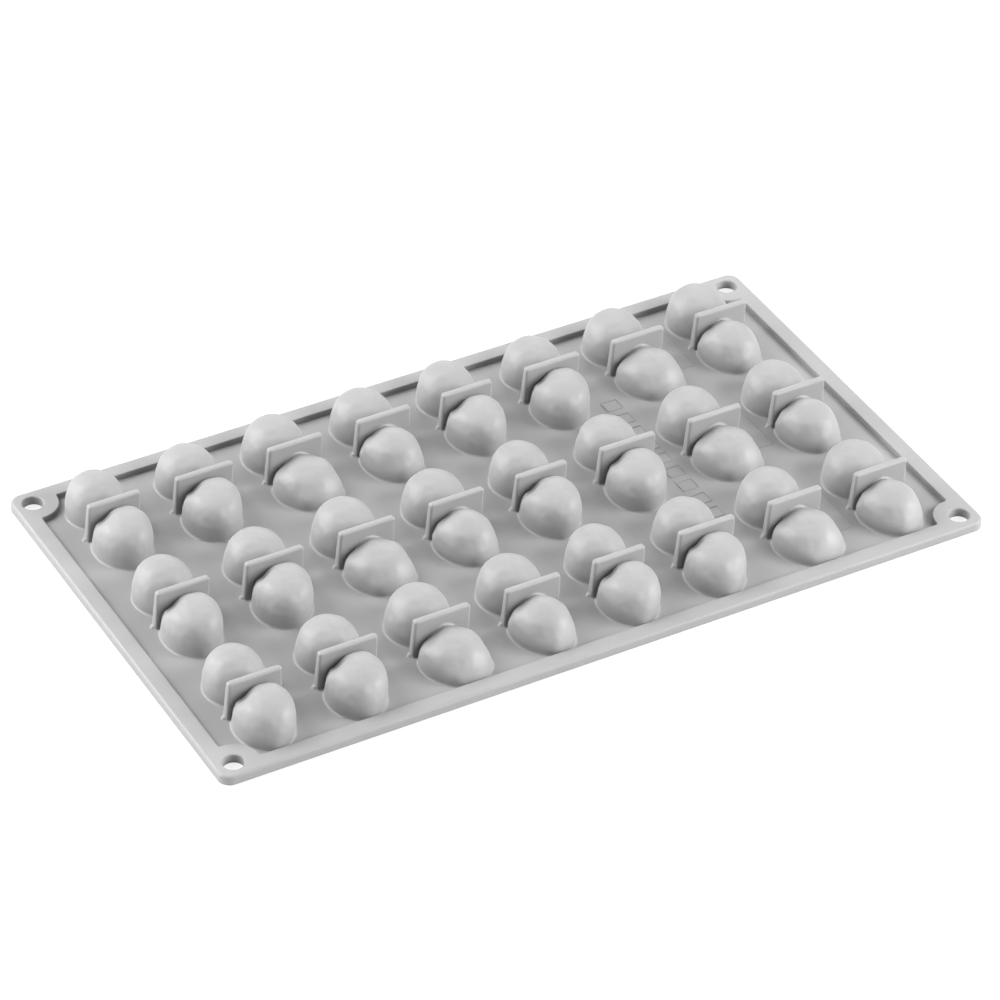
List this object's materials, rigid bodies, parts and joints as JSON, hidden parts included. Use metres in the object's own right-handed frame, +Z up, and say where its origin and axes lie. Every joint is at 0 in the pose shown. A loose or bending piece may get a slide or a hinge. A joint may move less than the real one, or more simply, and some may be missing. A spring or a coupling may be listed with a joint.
{
  "type": "silicone baking mold",
  "caption": "Flexible rectangular baking mold with rows of twin-lobed cups, upright support fins, a raised rim and holed corner bosses.",
  "frame": {"origin": "middle of the flat open face on which the mold lies", "axes": "+X along the long side, +Y along the short side from front to back, +Z up out of the cup backs"},
  "size_m": [0.3, 0.175, 0.0162],
  "materials": {
    "silicone": "satin"
  },
  "bodies": {
    "root": {"cup_front_1": "silicone", "fin_front_1": "silicone", "cup_front_2": "silicone", "fin_front_2": "silicone", "cup_front_3": "silicone", "fin_front_3": "silicone", "cup_front_4": "silicone", "fin_front_4": "silicone", "cup_front_5": "silicone", "fin_front_5": "silicone", "cup_front_6": "silicone", "fin_front_6": "silicone", "cup_front_7": "silicone", "fin_front_7": "silicone", "cup_front_8": "silicone", "fin_front_8": "silicone", "cup_middle_1": "silicone", "fin_middle_1": "silicone", "cup_middle_2": "silicone", "fin_middle_2": "silicone", "cup_middle_3": "silicone", "fin_middle_3": "silicone", "cup_middle_4": "silicone", "fin_middle_4": "silicone", "cup_middle_5": "silicone", "fin_middle_5": "silicone", "cup_middle_6": "silicone", "fin_middle_6": "silicone", "cup_middle_7": "silicone", "fin_middle_7": "silicone", "cup_middle_8": "silicone", "fin_middle_8": "silicone", "cup_back_1": "silicone", "fin_back_1": "silicone", "cup_back_2": "silicone", "fin_back_2": "silicone", "cup_back_3": "silicone", "fin_back_3": "silicone", "cup_back_4": "silicone", "fin_back_4": "silicone", "cup_back_5": "silicone", "fin_back_5": "silicone", "cup_back_6": "silicone", "fin_back_6": "silicone", "cup_back_7": "silicone", "fin_back_7": "silicone", "cup_back_8": "silicone", "fin_back_8": "silicone", "corner_boss_front_left": "silicone", "corner_boss_front_right": "silicone", "corner_boss_back_left": "silicone", "corner_boss_back_right": "silicone", "rim_front": "silicone", "rim_back": "silicone", "rim_left": "silicone", "rim_right": "silicone"}
  },
  "joints": []
}
